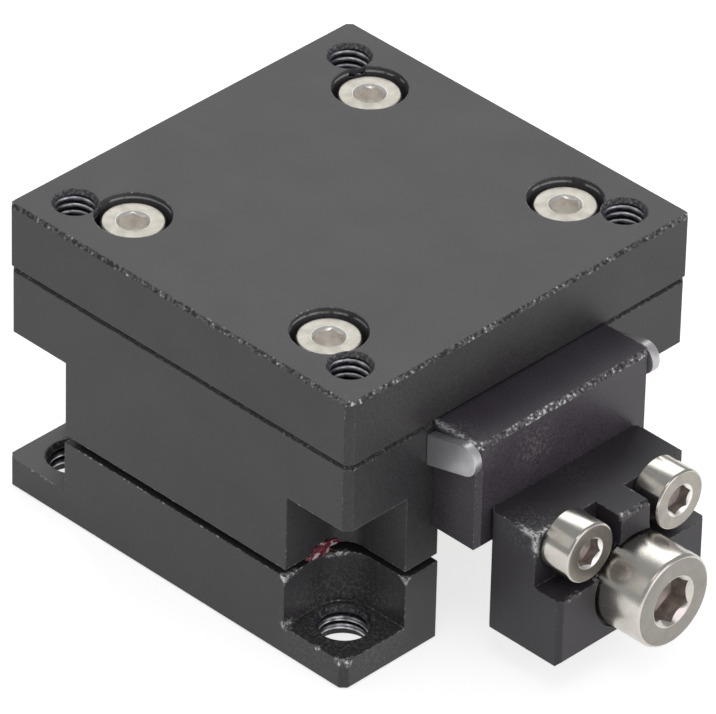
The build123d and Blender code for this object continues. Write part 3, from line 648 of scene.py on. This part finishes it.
# the sockets: brown with old oil
oily_socket = turned_metal("oily_punched_socket", "#b5aaa1", "#887c73", roughness=0.38,
                           mark_size=0.12 * MM, mark_depth=0.008 * MM, metallic=0.4)
outwards = Matrix.Rotation(math.radians(90), 4, "Y")
block_screw_y = 5.3 * MM
block_screw_z = 13.8 * MM
block_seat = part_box("block_screws")[1].x - m3_head_height
for i, side in enumerate((-1, 1)):
    spin = Matrix.Rotation(math.radians(11.0 + 31.0 * i), 4, "Z")
    place = Matrix.Translation((block_seat, side * block_screw_y, block_screw_z)) @ outwards @ spin
    cap_screw(f"block_screw_{i}", m3_head_radius, m3_head_height, flats=2.35 * MM, depth=1.1 * MM,
              thread_radius=m3_radius, length=10.0 * MM, pitch=m3_pitch, place=place,
              materials=[tumbled_side, worn_face, oily_socket, bright_mouth],
              body="carriage", node="block_screws")
feed_height = 8.65 * MM
feed_head_height = 5.0 * MM
feed_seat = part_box("feed_screw")[1].x - feed_head_height
cap_screw("feed_screw_turned", 4.25 * MM, feed_head_height, flats=3.75 * MM, depth=2.0 * MM,
          thread_radius=m5_radius - 0.05 * MM, length=35.0 * MM, pitch=m5_pitch,
          place=Matrix.Translation((feed_seat, 0, feed_height)) @ outwards,
          materials=[feed_side, feed_face, oily_socket, tumbled_side],
          body="feed_screw_body", node="feed_screw")

# ------------------------------------------------------------------ keeper clip
# Spring steel strip, sheared, tumbled until its edges are round, and bent round the
# bracket's sides. The tumbling leaves a dull grey skin.
clip_edge = 0.32               # mm, the rounding the tumbling left
weld = 0.004                   # mm, corners closer than this are one
# a dull, pale grey sheen
satin_spring = turned_metal("tumbled_spring_steel", "#c9c8ca", "#bfbec0", roughness=0.40,
                            mark_size=0.06 * MM, mark_depth=0.002 * MM, metallic=0.7)
shape = bmesh.new()
shape.from_mesh(nodes["keeper_clip"].data)
bmesh.ops.scale(shape, vec=(1 / MM, 1 / MM, 1 / MM), verts=shape.verts)     # rounded in mm
bmesh.ops.remove_doubles(shape, verts=shape.verts, dist=weld)
bmesh.ops.dissolve_limit(shape, angle_limit=math.radians(2), verts=shape.verts, edges=shape.edges)
corners = [e for e in shape.edges if e.calc_face_angle(0) > math.radians(50)]
bmesh.ops.bevel(shape, geom=corners, offset=clip_edge, segments=4, profile=0.5, affect="EDGES",
                clamp_overlap=True)
bmesh.ops.scale(shape, vec=(MM, MM, MM), verts=shape.verts)
clip_mesh = bpy.data.meshes.new("keeper_clip_tumbled")
shape.to_mesh(clip_mesh)
shape.free()
for face in clip_mesh.polygons:
    face.use_smooth = True
clip_mesh.set_sharp_from_angle(angle=math.radians(40))
clip = bpy.data.objects.new("keeper_clip_tumbled", clip_mesh)
scene.collection.objects.link(clip)
clip.matrix_world = nodes["keeper_clip"].matrix_world
clip_mesh.materials.clear()
clip_mesh.materials.append(satin_spring)
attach(clip, "carriage")
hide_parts("keeper_clip")

# ------------------------------------------------------------------ lacquer seal
# A dab of red locking lacquer, brushed over the gap between base and carriage beside a
# corner notch. The first travel broke it in two: each half is a wavy skin with pale chips.
crack_size = 0.6 * MM
break_height = 8.72 * MM       # the broken rims, pale where the lacquer tore
break_reach = 0.26 * MM
# a glossy wine red with pale chips, palest along the break
seal, tree = new_material("dried_red_lacquer")
place = add(tree, "ShaderNodeTexCoord").outputs["Object"]
cracks = add(tree, "ShaderNodeTexNoise", {"Vector": place, "Scale": 1 / crack_size, "Detail": 3.0})
height = add(tree, "ShaderNodeSeparateXYZ", {0: place}).outputs["Z"]
broken_edge = add(tree, "ShaderNodeMapRange", {"Value": height, "From Min": break_height + break_reach,
                                               "From Max": break_height, "To Max": 0.11})
ragged = add(tree, "ShaderNodeMath", {0: cracks, 1: broken_edge}, operation="ADD")
flakes = add(tree, "ShaderNodeMapRange", {"Value": ragged, "From Min": 0.60, "From Max": 0.66})
faded = add(tree, "ShaderNodeMix", {"Factor": flakes, colour_a: linear("#7a2f3c"),
                                    colour_b: linear("#d2c8c6")}, data_type="RGBA")
rough = add(tree, "ShaderNodeMapRange", {"Value": cracks, "To Min": 0.12, "To Max": 0.35})
bump = add(tree, "ShaderNodeBump", {"Height": cracks, "Strength": 0.6, "Distance": 0.03 * MM})
shader = add(tree, "ShaderNodeBsdfPrincipled", {"Base Color": faded.outputs[colour_out], "Roughness": rough,
                                                "IOR": 1.48, "Normal": bump})
add(tree, "ShaderNodeOutputMaterial", {"Surface": shader})


def dab(name, middle, halves, arc_start, arc_radius, lowest, highest, body):
    """Half of the seal, in mm: a lump on the notch's wall, bent with it where its corner's arc starts,
    and cut flat at its lowest and highest level."""
    lump = bmesh.new()
    bmesh.ops.create_icosphere(lump, subdivisions=5, radius=1.0)
    for vert in lump.verts:
        way = vert.co.copy()
        swell = 1 + 0.30 * noise(2.1 * way) + 0.14 * noise(6.3 * way + Vector((4, 1, 7)))
        point = middle + Vector([half * w for half, w in zip(halves, way)]) * swell
        past = min(max(0.0, point.y - arc_start), 0.9 * arc_radius)
        point.x += arc_radius - math.sqrt(arc_radius ** 2 - past ** 2)
        point.z = min(max(point.z, lowest), highest)
        vert.co = point * MM
    mesh = bpy.data.meshes.new(name)
    lump.to_mesh(mesh)
    lump.free()
    for face in mesh.polygons:
        face.use_smooth = True
    made = bpy.data.objects.new(name, mesh)
    scene.collection.objects.link(made)
    mesh.materials.append(seal)
    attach(made, body)


dab("lacquer_on_base", Vector((12.95, -16.1, 8.42)), (0.22, 1.2, 0.4), arc_start=-16.0, arc_radius=3.0,
    lowest=8.02, highest=8.66, body="base")
dab("lacquer_on_carriage", Vector((13.0, -15.5, 8.85)), (0.24, 1.5, 0.48), arc_start=-15.0,
    arc_radius=2.0, lowest=8.685, highest=9.6, body="carriage")
